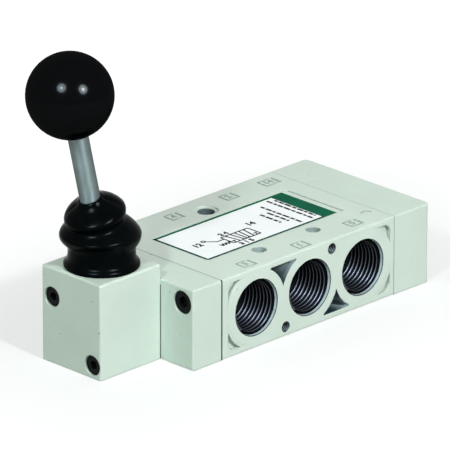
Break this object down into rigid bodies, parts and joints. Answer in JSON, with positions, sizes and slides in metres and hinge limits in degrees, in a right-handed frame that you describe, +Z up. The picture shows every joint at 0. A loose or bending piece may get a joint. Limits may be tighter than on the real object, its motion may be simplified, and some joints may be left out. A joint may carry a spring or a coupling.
{
  "type": "manual air control valve",
  "caption": "Hand lever spool valve: ported body with threaded sockets, plain end cap, lever block with rubber bellows boot, steel rod and ball knob.",
  "frame": {"origin": "on the base face, straight below the spool axis and half way along the ported body", "axes": "+X along the spool from the lever block to the plain end cap, -Y out of the three-port face, +Z up"},
  "size_m": [0.1693, 0.064, 0.1212],
  "materials": {
    "painted_body": "fine satin enamel on die-cast aluminium",
    "painted_ends": "fine satin enamel on die-cast aluminium",
    "label_face": "printed film label with a thin dark green border",
    "black_screw": "black oxide steel",
    "bright_steel": "ground steel",
    "spool_metal": "turned and anodised",
    "bronze": "sintered bronze",
    "insert_brass": "turned brass",
    "seal_rubber": "matt nitrile rubber",
    "boot_rubber": "satin moulded rubber",
    "knob_plastic": "polished phenolic"
  },
  "bodies": {
    "root": {"valve_body": "painted_body", "adapter_plate": "painted_ends", "end_cap": "painted_ends", "lever_block": "painted_ends", "label_plate": "label_face", "adapter_screws": "black_screw", "cap_screws": "black_screw", "lever_block_screws": "black_screw", "adapter_seal": "seal_rubber", "cap_seal": "seal_rubber", "end_bumper": "seal_rubber", "stem_bush": "bronze", "stem_seal": "seal_rubber", "pivot_collar": "bright_steel", "pivot_pin": "bright_steel", "return_spring": "bright_steel", "boot": "boot_rubber"},
    "lever": {"lever_arm": "bright_steel", "pivot_bush": "bronze", "lever_rod": "bright_steel", "rod_lock_nut": "bright_steel", "knob": "knob_plastic", "knob_insert": "insert_brass"},
    "spool_train": {"spool": "spool_metal", "land_seals": "seal_rubber", "end_seals": "seal_rubber", "spool_stem": "bright_steel", "spring_washer": "bright_steel"}
  },
  "joints": [
    {"name": "lever_tilt", "type": "hinge", "parent": "root", "child": "lever", "pos_m": [-0.07425, 0, 0.0394], "axis": [0, 1, 0], "range_deg": [0, 26.2], "stiffness_Nm_per_rad": 0.65, "springref_deg": -31.51, "deforming": ["boot"]},
    {"name": "spool_slide", "type": "slide", "parent": "root", "child": "spool_train", "axis": [1, 0, 0], "range_m": [-0.01084, 0], "deforming": ["return_spring"]}
  ],
  "couplings": [
    {"joint": "spool_slide", "follows": "lever_tilt", "m_per_rad": -0.023692}
  ]
}
